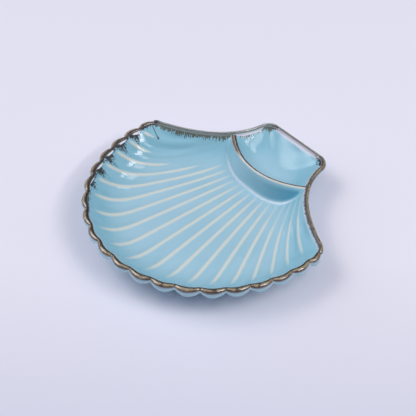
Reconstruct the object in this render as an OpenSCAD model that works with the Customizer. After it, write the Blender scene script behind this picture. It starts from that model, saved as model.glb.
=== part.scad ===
// Scallop shell platter in glazed stoneware: a fluted fan dish with a dip cup at its hinge end.
// x runs across the dish, y from the fan's front edge to the hinge, z up from the table.

/* [Fan dish] */
// Half width of the bowl's fan edge, inside the rim
fan_half_w = 105.5; // [96:0.5:114]
// Half length of the ellipse that the fan edge follows
fan_half_len = 112.5; // [102:0.5:118]
// How far round that ellipse each corner of the fan lies, in degrees
corner_turn = 98.9; // [96:0.1:102]
// Depth of the dish below the rim at the fan's front
fan_depth = 24; // [18:0.5:28]
// Depth of the dish below the rim at the hinge
hinge_depth = 18; // [15:0.5:22]
// Plan width of the curved wall between rim and floor
wall_run = 42.5; // [34:0.5:46]
// Thickness of the floor
floor_t = 4.5; // [3.5:0.1:6]
// Radius in plan of the two corners of the fan
fan_corner_r = 5; // [3:0.5:7]

/* [Flutes and ribs] */
// Number of flutes round the fan, with a rib between each two
flutes = 20; // [18:2:24]
// How far each flute swells outwards between its ribs, inside the rim
flute_swell = 1.5; // [0.5:0.1:2]
// How far each flute sinks below its ribs on the floor
flute_sink = 0.8; // [0.2:0.1:1.2]
// Width of a rib at the fan's edge
rib_w = 2.6; // [1.8:0.1:3.4]
// Height of a rib
rib_h = 0.8; // [0.4:0.1:1.2]

/* [Dip cup and divider] */
// Half width of the cup between its two ears, inside the rim
ear_half_w = 35; // [30:0.5:38]
// Distance from the fan's centre to the hinge edge
hinge_reach = 96.5; // [93:0.5:102]
// Radius in plan of the two ears
ear_r = 8; // [5:0.5:10]
// Distance from the fan's centre to the divider's ends
divider_reach = 60.5; // [57:0.5:64]
// How far the divider bows towards the fan at its middle
divider_bow = 17.5; // [12:0.5:21]
// Width of the divider's crest
crest_w = 4; // [3:0.2:5]
// Plan width of the divider's steep face on the fan side
fan_face_run = 8; // [6:0.5:10]
// Plan width of the divider's hollow face on the cup side
cup_face_run = 23; // [18:0.5:24]

/* [Rim and foot] */
// Width of the glazed band along the rim
rim_w = 4.2; // [3.4:0.1:5]
// Height of that band
rim_band_h = 2; // [1.4:0.1:2.6]
// How far each flute swells the outer edge of the rim
rim_swell = 2.5; // [1:0.1:3]
// Height of the rim's outer edge below the band
rim_edge_h = 4; // [3:0.1:5]
// Height of the glazed band along the divider's crest
crest_band_h = 0.8; // [0.4:0.1:1.2]
// Outer radius of the foot ring
foot_r = 52; // [44:1:54]
// Width of the foot ring
foot_w = 6; // [4:0.5:8]
// Height of the foot ring
foot_h = 3; // [2:0.5:5]

/* [Hidden] */
$fn = 96;

// How the flutes and the lines between them crowd towards the fan's corners
rim_crowding = 0.085;
divider_crowding = 0.42;
line_crowding = 0.73;

// Control point of the side edge, a quadratic curve from the fan's corner to the ear
side_bend = [36, 46];
// How far along the dish the control point of the fan's middle line lies, and how the lines beside it
// change over to the side edge's control point
middle_line_bend = -16.5;
side_line_power = 2.2;

// Shapes of the walls between rim and floor, inside and under the dish
inner_power = 3;
under_power = 2.4;
under_share = 0.8;
under_run = under_share * wall_run;
// Thickness of the wall at the lip
under_lip_t = 7;
fan_face_power = 1.35;
cup_face_power = 3;
// The divider's crest as a share of the rim's height over the floor
crest_share = 0.97;
// Thickness of the divider's thin edge, where it is luted onto the floor
luting_step = 0.3;
// A rib starts at this share of its height and reaches it all over so many rows
rib_start = 0.35;
rib_rise_rows = 2.6;

// Where the foot ring's centre lies along the dish, under its middle of mass
foot_y = -14;
floor_z = foot_h + floor_t;

function mix(a, b, part) = a + (b - a) * part;
function curve(p, bend, q, t) = (1 - t) * (1 - t) * p + 2 * t * (1 - t) * bend + t * t * q;
function crowd(u, amount) = u * (1 + amount) - amount * u * u * u;
function in_flute(u) = abs(sin(90 * flutes * u));

// Rim ellipse, by the place across the dish, from -1 at one corner of the fan to 1 at the other
function fan_edge(u) = let (turn = corner_turn * crowd(u, rim_crowding))
    [fan_half_w * sin(turn), -fan_half_len * cos(turn)];

// Places across the dish, five to each flute: the rib, its two sides and two between
flute_w = norm(fan_edge(2 / flutes) - fan_edge(0));
rib_part = rib_w / 2 / flute_w;
part_of_flute = [0, rib_part, 1 / 3, 2 / 3, 1 - rib_part];
cols = concat([for (k = [0:flutes - 1]) for (part = part_of_flute) -1 + 2 * (k + part) / flutes], [1]);
last_col = len(cols) - 1;
last_flute = 1 - 2 / flutes;

// Rows from the hinge to the fan's edge, as parts of the open stretches and distances from the crest
hinge_rows = [0, 0.06, 0.15, 0.3, 0.5, 0.75];
half_crest = crest_w / 2;
crest_rows = concat([for (part = [1, 0.5, 0.2, 0]) -half_crest - cup_face_run * part],
                    [for (part = [0, 0.5, 1]) half_crest + fan_face_run * part]);
fan_rows = [0.07, 0.2, 0.38, 0.55, 0.68, 0.78, 0.86, 0.92, 0.965, 1];
first_crest = len(hinge_rows);
first_fan = first_crest + len(crest_rows);
last_row = first_fan + len(fan_rows) - 1;
rib_rows = [first_fan:last_row - 1];

// Side edge that runs from the fan's corner to the ear
corner = fan_edge(1);
ear = [ear_half_w, hinge_reach];
// Place along the side edge where the divider meets it, by halving
function side_place(low, high, steps) = let (middle = (low + high) / 2)
    steps == 0 ? middle
    : curve(corner, side_bend, ear, middle).y < divider_reach ? side_place(middle, high, steps - 1)
    : side_place(low, middle, steps - 1);
meet = side_place(0, 1, 30);
divider_end = curve(corner, side_bend, ear, meet);
fan_side_bend = mix(corner, side_bend, meet);
cup_side_bend = mix(side_bend, ear, meet);

// A corner's rounding: how far its edge is drawn in, at a distance from it
function drawn_in(distance, r) = distance >= r ? 0 : 1 - sqrt(1 - pow(1 - distance / r, 2));

// The three points that each line across the dish passes: hinge edge, divider crest, fan edge
function hinge_point(u) = [ear_half_w * crowd(u, divider_crowding), hinge_reach];
function crest_point(u) = let (x = crowd(u, divider_crowding))
    [divider_end.x * x, divider_end.y - divider_bow * (1 - x * x)];
function cup_bend(u) = let (x = crowd(u, divider_crowding))
    [cup_side_bend.x * x, mix((hinge_reach + divider_end.y - divider_bow) / 2, cup_side_bend.y, x * x)];
function fan_bend(u) = [fan_side_bend.x * crowd(u, line_crowding),
                        mix(middle_line_bend, fan_side_bend.y, pow(abs(u), side_line_power))];
function cup_line(u, t) = curve(hinge_point(u), cup_bend(u), crest_point(u), t);
function cup_length(u) = norm(hinge_point(u) - crest_point(u));
function fan_length(u) = norm(fan_edge(u) - crest_point(u));

// Cup rows: the whole row narrows near the hinge, which rounds the ears
function cup_place(u, t) = let (p = cup_line(u, t), pull = drawn_in(t * cup_length(1), ear_r))
    [p.x * (1 - pull * ear_r / ear_half_w), p.y];
// Fan rows: only the last flute narrows near the fan's edge, which rounds the corners
function fan_place(u, t) =
    let (pull = drawn_in((1 - t) * fan_length(1), fan_corner_r) * fan_corner_r / flute_w,
         v = abs(u) <= last_flute ? u : sign(u) * (last_flute + (abs(u) - last_flute) * (1 - pull)))
    curve(crest_point(v), fan_bend(v), fan_edge(v), t);
function place(u, row) =
    row < first_crest ? cup_place(u, hinge_rows[row] * (1 + crest_rows[0] / cup_length(u)))
    : row < first_fan ?
        let (e = crest_rows[row - first_crest])
        e < 0 ? cup_place(u, 1 + e / cup_length(u)) : fan_place(u, e / fan_length(u))
    : let (foot = (half_crest + fan_face_run) / fan_length(u))
      fan_place(u, mix(foot, 1, fan_rows[row - first_fan]));

smooth = [for (row = [0:last_row]) [for (u = cols) place(u, row)]];

// Distances to the bowl's four edges
function to_segment(p, a, b) = let (s = b - a, t = max(0, min(1, (p - a) * s / (s * s)))) norm(p - a - s * t);
function to_edge(p, edge) = min([for (i = [1:len(edge) - 1]) to_segment(p, edge[i - 1], edge[i])]);
fan_side = [for (j = [0:last_col]) if (j % 5 != 1 && j % 5 != 4) smooth[last_row][j]];
hinge_side = [smooth[0][0], smooth[0][last_col]];
left_side = [for (row = smooth) row[0]];
right_side = [for (row = smooth) row[last_col]];
function edge_distances(p, row, j) = [row == last_row ? 0 : to_edge(p, fan_side),
                                      row == 0 ? 0 : to_edge(p, hinge_side),
                                      j == 0 ? 0 : to_edge(p, left_side),
                                      j == last_col ? 0 : to_edge(p, right_side)];
distances = [for (row = [0:last_row]) [for (j = [0:last_col]) edge_distances(smooth[row][j], row, j)]];
function below_wall(d, run, power) = 1 - pow(1 - min(1, d / run), power);
function wall(d, run, power) = 1 - below_wall(d[0], run, power) * below_wall(d[1], run, power)
    * below_wall(d[2], run, power) * below_wall(d[3], run, power);

// Heights: the rim falls evenly from the fan's front to the hinge
lip_len = hinge_reach + fan_half_len;
function lip_z(y) = floor_z + mix(fan_depth, hinge_depth, (y + fan_half_len) / lip_len) - rim_band_h;
function swell_share(row, j) = let (d = distances[row][j][0]) pow(1 - min(1, d / wall_run), 2);
function sink_share(row, j) = row < first_fan ? 0
    : min(1, (row - first_fan + 1) / 2) * (1 - swell_share(row, j))
      * (1 - wall(distances[row][j], wall_run, 1));
function outwards(row, j) = let (u = cols[j], way = fan_edge(u) - fan_bend(u)) way / norm(way);
function swollen(row, j) = row < first_fan ? smooth[row][j]
    : smooth[row][j] + outwards(row, j) * flute_swell * in_flute(cols[j]) * swell_share(row, j);
function bowl_z(row, j) = let (p = smooth[row][j])
    mix(floor_z, lip_z(p.y), wall(distances[row][j], wall_run, inner_power))
    - flute_sink * in_flute(cols[j]) * sink_share(row, j);
function under_z(row, j) = let (p = smooth[row][j])
    mix(foot_h, lip_z(p.y) - under_lip_t, wall(distances[row][j], under_run, under_power));

// The rim runs round the bowl's edge, with its outer edge swollen at each flute
function around(grid) = concat([for (j = [0:last_col]) grid[last_row][j]],
                               [for (row = [last_row - 1:-1:0]) grid[row][last_col]],
                               [for (j = [last_col - 1:-1:0]) grid[0][j]],
                               [for (row = [1:last_row - 1]) grid[row][0]]);
grid_index = [for (row = [0:last_row]) [for (j = [0:last_col]) row * (last_col + 1) + j]];
edge_index = around(grid_index);
smooth_edge = around(smooth);
edge_n = len(edge_index);
edge_flute = around([for (row = [0:last_row])
    [for (j = [0:last_col]) row == last_row ? in_flute(cols[j]) : 0]]);
function outward(i) =
    let (way = smooth_edge[(i + 1) % edge_n] - smooth_edge[(i + edge_n - 1) % edge_n])
    [way.y, -way.x] / norm(way);
swollen_edge = around([for (row = [0:last_row]) [for (j = [0:last_col]) swollen(row, j)]]);
outer_edge = [for (i = [0:edge_n - 1]) swollen_edge[i]
    + outward(i) * (rim_w + (rim_swell - flute_swell) * edge_flute[i])];

// The dish is set so that the middle of its whole length is at the origin
edge_ys = [for (p = outer_edge) p.y];
shift_y = -(min(edge_ys) + max(edge_ys)) / 2;
function set_at(p, z) = [p.x, p.y + shift_y, z];

bowl_points = [for (row = [0:last_row]) for (j = [0:last_col]) set_at(swollen(row, j), bowl_z(row, j))];
under_points = [for (row = [0:last_row]) for (j = [0:last_col]) set_at(swollen(row, j), under_z(row, j))];
lip_points = [for (i = [0:edge_n - 1]) set_at(outer_edge[i], lip_z(smooth_edge[i].y))];
lip_under_points = [for (p = lip_points) p - [0, 0, rim_edge_h]];

// Faces of a grid of points, of a closed band between two rings, and of one row of quads
function quad(a, b, c, d) = [[a, b, c], [a, c, d]];
function grid_faces(rows, columns, start) = [for (r = [0:rows - 2]) for (j = [0:columns - 2])
    let (a = start + r * columns + j) for (f = quad(a, a + 1, a + columns + 1, a + columns)) f];
function turned(faces) = [for (f = faces) [f[2], f[1], f[0]]];
function ring_faces(a, b) = [for (i = [0:len(a) - 1]) let (k = (i + 1) % len(a))
    for (f = quad(a[i], a[k], b[k], b[i])) f];
function run(start, n) = [for (i = [0:n - 1]) start + i];

module dish_body() {
    n = len(bowl_points);
    outer = run(2 * n, edge_n);
    outer_under = run(2 * n + edge_n, edge_n);
    color("#8FBCD3")
    polyhedron(concat(bowl_points, under_points, lip_points, lip_under_points),
               concat(grid_faces(last_row + 1, last_col + 1, 0),
                      turned(grid_faces(last_row + 1, last_col + 1, n)),
                      ring_faces(edge_index, outer),
                      ring_faces(outer, outer_under),
                      ring_faces(outer_under, [for (i = edge_index) i + n])));
}

// Bead of thick brown glaze that sits on the lip
module rim_glaze_band() {
    inner = [for (i = edge_index) bowl_points[i]];
    section = [[0, 0], [0, 0.5], [0.3, 1], [0.7, 1], [1, 0.5], [1, 0]];
    points = [for (s = section) for (i = [0:edge_n - 1])
        mix(inner[i], lip_points[i], s.x) + [0, 0, rim_band_h * s.y]];
    color("#6E5F50")
    polyhedron(points, [for (k = [0:5]) for (f = ring_faces(run(k * edge_n, edge_n),
                                                            run((k + 1) % 6 * edge_n, edge_n))) f]);
}

// Ribs lie along the lines between the flutes, lower and narrower towards the divider
module rib(j) {
    rows = [for (row = rib_rows) row];
    count = len(rows);
    section = [[-1, 0], [0, 0], [1, 0], [0.5, 0.75], [0, 1], [-0.5, 0.75]];
    function across(row, s) = mix(bowl_points[grid_index[row][j]],
                                  bowl_points[grid_index[row][j + (s < 0 ? -1 : 1)]], abs(s));
    points = [for (i = [0:count - 1]) for (s = section)
        across(rows[i], s.x) + [0, 0, s.y * rib_h * min(1, rib_start + (1 - rib_start) * i / rib_rise_rows)]];
    sides = [for (i = [0:count - 2]) for (f = ring_faces(run(i * 6, 6), run(i * 6 + 6, 6))) f];
    start_cap = [[0, 5, 1], [1, 5, 4], [1, 4, 3], [1, 3, 2]];
    end_cap = turned([for (f = start_cap) f + (count - 1) * 6 * [1, 1, 1]]);
    polyhedron(points, turned(concat(sides, turned(start_cap), turned(end_cap))));
}

module raised_ribs() {
    color("#CDD3CB")
    for (k = [1:flutes - 1]) rib(5 * k);
}

// Curved wall between dish and cup, steep towards the fan and hollow towards the cup
divider_cols = [3:last_col - 3];
function crest_share_at(e) =
    abs(e) <= half_crest ? 1
    : let (k = (abs(e) - half_crest) / (e > 0 ? fan_face_run : cup_face_run),
           power = e > 0 ? fan_face_power : cup_face_power)
      pow(1 - min(1, k), power);
function divider_top(row, j) = let (p = bowl_points[grid_index[row][j]],
                                    rise = lip_z(smooth[row][j].y) - floor_z,
                                    open = 1 - wall(distances[row][j], wall_run, inner_power),
                                    share = crest_share * crest_share_at(crest_rows[row - first_crest]))
    p + [0, 0, max(luting_step, rise * open * share)];

module dip_divider() {
    js = [for (j = divider_cols) j];
    width = len(js);
    rows = [for (row = [first_crest:first_fan - 1]) row];
    height = len(rows);
    top = [for (row = rows) for (j = js) divider_top(row, j)];
    bottom = [for (row = rows) for (j = js) bowl_points[grid_index[row][j]]];
    n = len(top);
    edge = concat([for (j = [0:width - 1]) (height - 1) * width + j],
                  [for (r = [height - 2:-1:0]) r * width + width - 1],
                  [for (j = [width - 2:-1:0]) j],
                  [for (r = [1:height - 2]) r * width]);
    color("#7FAFC8")
    polyhedron(concat(top, bottom),
               concat(grid_faces(height, width, 0),
                      turned(grid_faces(height, width, n)),
                      ring_faces(edge, [for (i = edge) i + n])));
}

// Thin line of brown glaze along the crest
module divider_glaze_band() {
    crest_row = first_crest + 3;
    section = [[0, 0], [0.25, 1], [0.75, 1], [1, 0]];
    js = [for (j = divider_cols) j];
    n = len(js);
    points = [for (j = js) for (s = section)
        mix(divider_top(crest_row, j), divider_top(crest_row + 1, j), s.x) + [0, 0, s.y * crest_band_h]];
    sides = [for (i = [0:n - 2]) for (f = ring_faces(run(i * 4, 4), run(i * 4 + 4, 4))) f];
    ends = concat(quad(3, 2, 1, 0), [for (f = quad(0, 1, 2, 3)) f + (n - 1) * 4 * [1, 1, 1]]);
    color("#6E5F50")
    polyhedron(points, concat(sides, ends));
}

// Unglazed ring that the platter stands on, with its edges eased
module foot_ring() {
    ease = 0.6;
    color("#CFC4B4")
    translate([0, foot_y, 0])
    rotate_extrude()
    polygon([[foot_r - foot_w + ease, 0], [foot_r - ease, 0], [foot_r, ease], [foot_r, foot_h],
             [foot_r - foot_w, foot_h], [foot_r - foot_w, ease]]);
}

dish_body();
rim_glaze_band();
raised_ribs();
dip_divider();
divider_glaze_band();
foot_ring();
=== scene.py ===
import math

import bpy
import numpy as np
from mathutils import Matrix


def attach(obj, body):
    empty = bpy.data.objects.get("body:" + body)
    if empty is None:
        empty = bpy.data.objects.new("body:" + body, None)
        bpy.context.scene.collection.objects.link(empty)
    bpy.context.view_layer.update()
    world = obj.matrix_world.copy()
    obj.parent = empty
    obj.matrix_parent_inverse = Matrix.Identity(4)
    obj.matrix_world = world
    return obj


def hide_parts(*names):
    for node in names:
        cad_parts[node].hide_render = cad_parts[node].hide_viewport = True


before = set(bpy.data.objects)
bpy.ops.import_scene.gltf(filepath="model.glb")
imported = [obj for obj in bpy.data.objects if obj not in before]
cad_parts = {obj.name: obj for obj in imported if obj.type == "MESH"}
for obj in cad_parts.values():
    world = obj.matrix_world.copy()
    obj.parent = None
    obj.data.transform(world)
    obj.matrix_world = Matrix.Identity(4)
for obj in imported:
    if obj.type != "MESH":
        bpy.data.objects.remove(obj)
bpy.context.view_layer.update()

# Dish body
# One shell of stoneware clay, pressed over a plaster mould so that one rule gives its inner and outer face.
# A fan of flutes runs to a scalloped lip, and a dip cup closes the hinge end.
# It is dipped in a pale blue glaze, which looks deeper on the walls and breaks thin over every edge. Pale
# lines along the lip are partly painted reflection, and the outer wall is painted paler as painted light.

mm = 0.001
fan_half_w = 105.5 * mm
fan_half_len = 112.5 * mm
corner_turn = math.radians(98.9)
fan_depth = 24 * mm
hinge_depth = 18 * mm
wall_run = 42.5 * mm
under_run = 34 * mm
foot_h = 3 * mm
floor_h = 7.5 * mm
fan_corner_r = 5 * mm
sharp_corner_r = 1.5 * mm
flutes = 20
flute_swell = 1.5 * mm
flute_sink = 0.8 * mm
ear_half_w = 35 * mm
hinge_reach = 96.5 * mm
ear_r = 8 * mm
divider_reach = 60.5 * mm
divider_bow = 17.5 * mm
rim_w = 4.2 * mm
rim_band_h = 2 * mm
rim_swell = 2.5 * mm

# How the flutes and the lines between them crowd and bend towards the fan's corners
rim_crowding = 0.085
divider_crowding = 0.42
line_crowding = 0.73
side_bend = np.array([36, 46]) * mm
middle_line_bend = -16.5 * mm
side_line_power = 2.2
last_flute = 1 - 2 / flutes


def crowd(u, amount):
    return u * (1 + amount) - amount * u ** 3


def mix(a, b, part):
    return a + (b - a) * part


def curve(start, bend, end, t):
    return (1 - t) ** 2 * start + 2 * t * (1 - t) * bend + t * t * end


def pair(x, y):
    return np.stack(np.broadcast_arrays(x, y), -1)


def fan_edge(u):
    turn = corner_turn * crowd(u, rim_crowding)
    return pair(fan_half_w * np.sin(turn), -fan_half_len * np.cos(turn))


# The side edge is one curve from the fan's corner to the ear, and the divider meets it part of the way
corner = fan_edge(1.0)
ear = np.array([ear_half_w, hinge_reach])
side_steps = np.linspace(0, 1, 2001)
side_heights = curve(corner[1], side_bend[1], ear[1], side_steps)
meet = np.interp(divider_reach, side_heights, side_steps)
divider_end = curve(corner, side_bend, ear, meet)
fan_side_bend = mix(corner, side_bend, meet)
cup_side_bend = mix(side_bend, ear, meet)
cup_middle = (hinge_reach + divider_end[1] - divider_bow) / 2


# Each line along the dish passes three points: on the hinge edge, the divider's crest and the fan's edge
def hinge_point(u):
    return pair(ear_half_w * crowd(u, divider_crowding), hinge_reach)


def crest_point(u):
    x = crowd(u, divider_crowding)
    return pair(divider_end[0] * x, divider_end[1] - divider_bow * (1 - x * x))


def cup_bend(u):
    x = crowd(u, divider_crowding)
    return pair(cup_side_bend[0] * x, mix(cup_middle, cup_side_bend[1], x * x))


def fan_bend(u):
    share = np.abs(u) ** side_line_power
    return pair(fan_side_bend[0] * crowd(u, line_crowding), mix(middle_line_bend, fan_side_bend[1], share))


def cup_length(u):
    return np.linalg.norm(hinge_point(u) - crest_point(u), axis=-1)


def fan_length(u):
    return np.linalg.norm(fan_edge(u) - crest_point(u), axis=-1)


flute_w = np.linalg.norm(fan_edge(2 / flutes) - fan_edge(0.0))


def drawn_in(distance, radius):
    part = 1 - np.minimum(distance / radius, 1)
    return 1 - np.sqrt(1 - part * part)


# A place in plan: u runs across from -1 to 1, t from -1 at the hinge through 0 at the crest to 1 at the fan
def place(u, t):
    u, t = np.broadcast_arrays(u, t)
    cup_t = np.minimum(t, 0) + 1
    cup = curve(hinge_point(u), cup_bend(u), crest_point(u), cup_t[..., None])
    cup[..., 0] *= 1 - drawn_in(cup_t * cup_length(1.0), ear_r) * ear_r / ear_half_w
    fan_t = np.maximum(t, 0)
    radius = np.where(u < 0, sharp_corner_r, fan_corner_r)
    pull = drawn_in((1 - fan_t) * fan_length(1.0), radius) * radius / flute_w
    outer = np.maximum(np.abs(u) - last_flute, 0)
    v = np.sign(u) * (np.minimum(np.abs(u), last_flute) + outer * (1 - pull))
    fan = curve(crest_point(v), fan_bend(v), fan_edge(v), fan_t[..., None])
    return np.where(t[..., None] < 0, cup, fan)


# The same place, by its distance from the divider's crest: below nought in the cup, above it in the fan
def by_crest(u, away):
    return place(u, np.where(away < 0, away / cup_length(u), away / fan_length(u)))


def outwards(u):
    way = fan_edge(u) - fan_bend(u)
    return way / np.linalg.norm(way, axis=-1, keepdims=True)


def grid_faces(rows, columns, start=0):
    index = start + np.arange(rows * columns).reshape(rows, columns)
    corners = (index[:-1, :-1], index[1:, :-1], index[1:, 1:], index[:-1, 1:])
    return np.stack(corners, -1).reshape(-1, 4)


# Quads between closed loops of points, one loop to a row of index
def loop_faces(index):
    onward = np.roll(index, -1, axis=1)
    corners = (index[:-1], index[1:], onward[1:], onward[:-1])
    return np.stack(corners, -1).reshape(-1, 4)


def store(mesh, values):
    for key, value in values.items():
        flat = np.ascontiguousarray(value, dtype=np.float32)
        if flat.ndim == 2:
            mesh.attributes.new(key, "FLOAT_VECTOR", "POINT").data.foreach_set("vector", flat.ravel())
        else:
            mesh.attributes.new(key, "FLOAT", "POINT").data.foreach_set("value", flat.ravel())


def mesh_object(name, points, faces, edges=(), **values):
    mesh = bpy.data.meshes.new(name)
    mesh.from_pydata([tuple(p) for p in points], list(edges), [tuple(f) for f in faces])
    store(mesh, values)
    mesh.update()
    piece = bpy.data.objects.new(name, mesh)
    bpy.context.scene.collection.objects.link(piece)
    return piece


def values_of(mesh, key):
    layer = mesh.attributes[key]
    wide = layer.data_type == "FLOAT_VECTOR"
    flat = np.empty(len(mesh.vertices) * (3 if wide else 1), dtype=np.float32)
    layer.data.foreach_get("vector" if wide else "value", flat)
    return flat.reshape(-1, 3) if wide else flat


def linear(code):
    parts = [int(code[i:i + 2], 16) / 255 for i in (1, 3, 5)]
    return tuple(c / 12.92 if c <= 0.04045 else ((c + 0.055) / 1.055) ** 2.4 for c in parts) + (1.0,)


# Adds one node with its settings and links. A kind without Node in its name is a shader node. Sockets
# come in order, or by number or name: a plain value, an output, or a node for its first output in use.
def node(tree, kind, sockets=(), **settings):
    made = tree.nodes.new(kind if "Node" in kind else "ShaderNode" + kind)
    for key, value in settings.items():
        setattr(made, key, value)
    for key, value in sockets.items() if isinstance(sockets, dict) else enumerate(sockets):
        if isinstance(value, bpy.types.Node):
            value = next(output for output in value.outputs if output.enabled)
        if isinstance(value, bpy.types.NodeSocket):
            tree.links.new(value, made.inputs[key])
        else:
            made.inputs[key].default_value = value
    return made


# The blank, a flat sheet with rows from hinge to fan edge, closer together towards both edges
flute_steps = 14
cup_rows = 30
fan_rows = 70
row_crowding = 1.5
across = np.linspace(-1, 1, flutes * flute_steps + 1)
cup_steps = np.linspace(0, 1, cup_rows, endpoint=False) ** row_crowding - 1
fan_steps = 1 - (1 - np.linspace(0, 1, fan_rows)) ** row_crowding
along = np.concatenate([cup_steps, fan_steps])

# The bowl's four edges in plan, which the wall's height is measured from
edge_guides = {}
for edge_name, line in (("Fan edge", place(across, 1.0)), ("Hinge edge", place(across, -1.0)),
                        ("Left side", place(-1.0, along)), ("Right side", place(1.0, along))):
    points = np.column_stack([line, np.zeros(len(line))])
    steps = [(i, i + 1) for i in range(len(line) - 1)]
    edge_guides[edge_name] = mesh_object(edge_name, points, [], steps)

lip_front = floor_h + fan_depth - rim_band_h
lip_hinge = floor_h + hinge_depth - rim_band_h


# Starts a Geometry Nodes tree from the kind of each input, and gives it with its inputs and the position
def geometry_tree(name, inputs, result):
    tree = bpy.data.node_groups.new(name, "GeometryNodeTree")
    for key, kind in inputs.items():
        tree.interface.new_socket(key, in_out="INPUT", socket_type="NodeSocket" + kind)
    tree.interface.new_socket(result, in_out="OUTPUT", socket_type="NodeSocketGeometry")
    return tree, node(tree, "NodeGroupInput").outputs, node(tree, "GeometryNodeInputPosition")


def end_tree(tree, shape, glaze):
    shape = node(tree, "GeometryNodeSetShadeSmooth", [shape])
    shape = node(tree, "GeometryNodeRealizeInstances", [shape])
    shape = node(tree, "GeometryNodeSetMaterial", {0: shape, "Material": glaze})
    node(tree, "NodeGroupOutput", [shape])


# The press: a tree that gives each point of a flat blank the mould's height, from its distance to the four
# edges, and swells each flute outwards near the fan's edge. Blanks may carry their own lift and crest share.
hinge_brink_power = 10.0
sizes = ("Floor height", "Lip drop", "Lip rounding", "Wall run", "Wall power",
         "Hinge brink", "Flute sink", "Flute cut", "Flute drop", "Flute swell")
press, given, spot = geometry_tree("press over mould", {
    "Blank": "Geometry",
    **dict.fromkeys(edge_guides, "Object"),
    **dict.fromkeys(sizes, "Float"),
    "Glaze": "Material",
}, "Pressed")
spot_y = node(press, "SeparateXYZ", [spot]).outputs[1]

open_share = 1.0
flat_share = 1.0
nearest = 1.0
nearest_spot = spot
for edge_name in edge_guides:
    guide = node(press, "GeometryNodeObjectInfo", [given[edge_name]]).outputs["Geometry"]
    found = node(press, "GeometryNodeProximity", [guide], target_element="EDGES").outputs
    gap = found["Distance"]
    reach = node(press, "CombineXYZ", [gap, given["Lip rounding"]])
    reach = node(press, "VectorMath", [reach], operation="LENGTH")
    reach = node(press, "Math", [reach, given["Lip rounding"]], operation="SUBTRACT")
    part = node(press, "Math", [reach, given["Wall run"]], operation="DIVIDE", use_clamp=True)
    rest = node(press, "Math", [1.0, part], operation="SUBTRACT")
    steep = node(press, "Math", [rest, given["Wall power"]], operation="POWER")
    if edge_name == "Hinge edge":
        brink = node(press, "Math", [rest, hinge_brink_power], operation="POWER")
        steep = node(press, "Mix", {0: given["Hinge brink"], 2: steep, 3: brink}, data_type="FLOAT")
    clear = node(press, "Math", [1.0, steep], operation="SUBTRACT")
    open_share = node(press, "Math", [open_share, clear], operation="MULTIPLY")
    flat_share = node(press, "Math", [flat_share, part], operation="MULTIPLY")
    nearer = node(press, "Math", [gap, nearest], operation="LESS_THAN")
    nearest = node(press, "Math", [gap, nearest], operation="MINIMUM")
    nearest_spot = node(press, "GeometryNodeSwitch", [nearer, nearest_spot, found["Position"]],
                        input_type="VECTOR")
    if edge_name == "Fan edge":
        fan_share = node(press, "Math", [rest, 2.0], operation="POWER")
        wall_middle = node(press, "Math", [rest, part], operation="MULTIPLY")

crest, flute, ahead, lift = [node(press, "GeometryNodeInputNamedAttribute", [key], data_type="FLOAT")
                             for key in ("crest", "flute", "ahead", "lift")]
way = node(press, "GeometryNodeInputNamedAttribute", ["outward"], data_type="FLOAT_VECTOR")
lip = node(press, "MapRange", [spot_y, -fan_half_len, hinge_reach, lip_front, lip_hinge], clamp=False)
lip = node(press, "Math", [lip, given["Lip drop"]], operation="SUBTRACT")
low = node(press, "Math", [1.0, crest], operation="SUBTRACT")
low = node(press, "Math", [low, open_share], operation="MULTIPLY")
height = node(press, "Mix", {0: low, 2: lip, 3: given["Floor height"]}, data_type="FLOAT")
sunk = node(press, "Math", [1.0, fan_share], operation="SUBTRACT")
for share in (flat_share, ahead, given["Flute sink"]):
    sunk = node(press, "Math", [sunk, share], operation="MULTIPLY")
dropped = node(press, "Math", [fan_share, given["Flute drop"]], operation="MULTIPLY")
dropped = node(press, "Math", [dropped, flute], operation="MULTIPLY")
cut = node(press, "Math", [wall_middle, given["Flute cut"]], operation="MULTIPLY")
wave = node(press, "Math", [flute, flute], operation="MULTIPLY")
hollow = node(press, "Math", [sunk, cut], operation="ADD")
hollow = node(press, "Math", [hollow, wave, dropped], operation="MULTIPLY_ADD")
height = node(press, "Math", [height, hollow], operation="SUBTRACT")
height = node(press, "Math", [height, lift], operation="ADD")
swell = node(press, "Math", [fan_share, given["Flute swell"]], operation="MULTIPLY")
swell = node(press, "Math", [swell, flute], operation="MULTIPLY")
push = node(press, "VectorMath", {0: way, "Scale": swell}, operation="SCALE")
rise = node(press, "CombineXYZ", {2: height})
push = node(press, "VectorMath", [push, rise], operation="ADD")
pressed = given["Blank"]
for key, value, kind in (("from_rim", nearest, "FLOAT"), ("open_share", open_share, "FLOAT"),
                         ("rim_spot", nearest_spot, "FLOAT_VECTOR")):
    pressed = node(press, "GeometryNodeStoreNamedAttribute", {0: pressed, "Name": key, "Value": value},
                   data_type=kind)
pressed = node(press, "GeometryNodeSetPosition", {0: pressed, "Offset": push})
end_tree(press, pressed, given["Glaze"])


# Runs a tree on an object with the inputs given, and leaves a plain mesh
def run_tree(piece, tree, inputs):
    modifier = piece.modifiers.new(tree.name, "NODES")
    modifier.node_group = tree
    for item in tree.interface.items_tree:
        if item.in_out == "INPUT" and item.name in inputs:
            modifier[item.identifier] = inputs[item.name]
    graph = bpy.context.evaluated_depsgraph_get()
    made = bpy.data.meshes.new_from_object(piece.evaluated_get(graph))
    piece.modifiers.remove(modifier)
    piece.data = made
    made.name = piece.name
    return made


# The inner face: its wall is steepest just below the rounded lip
inner_press = {
    **edge_guides,
    "Floor height": floor_h,
    "Lip drop": 0.0,
    "Lip rounding": 1.3 * mm,
    "Wall run": wall_run,
    "Wall power": 3.0,
    "Hinge brink": 0.15,
    "Flute sink": flute_sink,
    "Flute cut": 7.0 * mm,
    "Flute drop": 0.0,
    "Flute swell": flute_swell,
}

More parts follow.
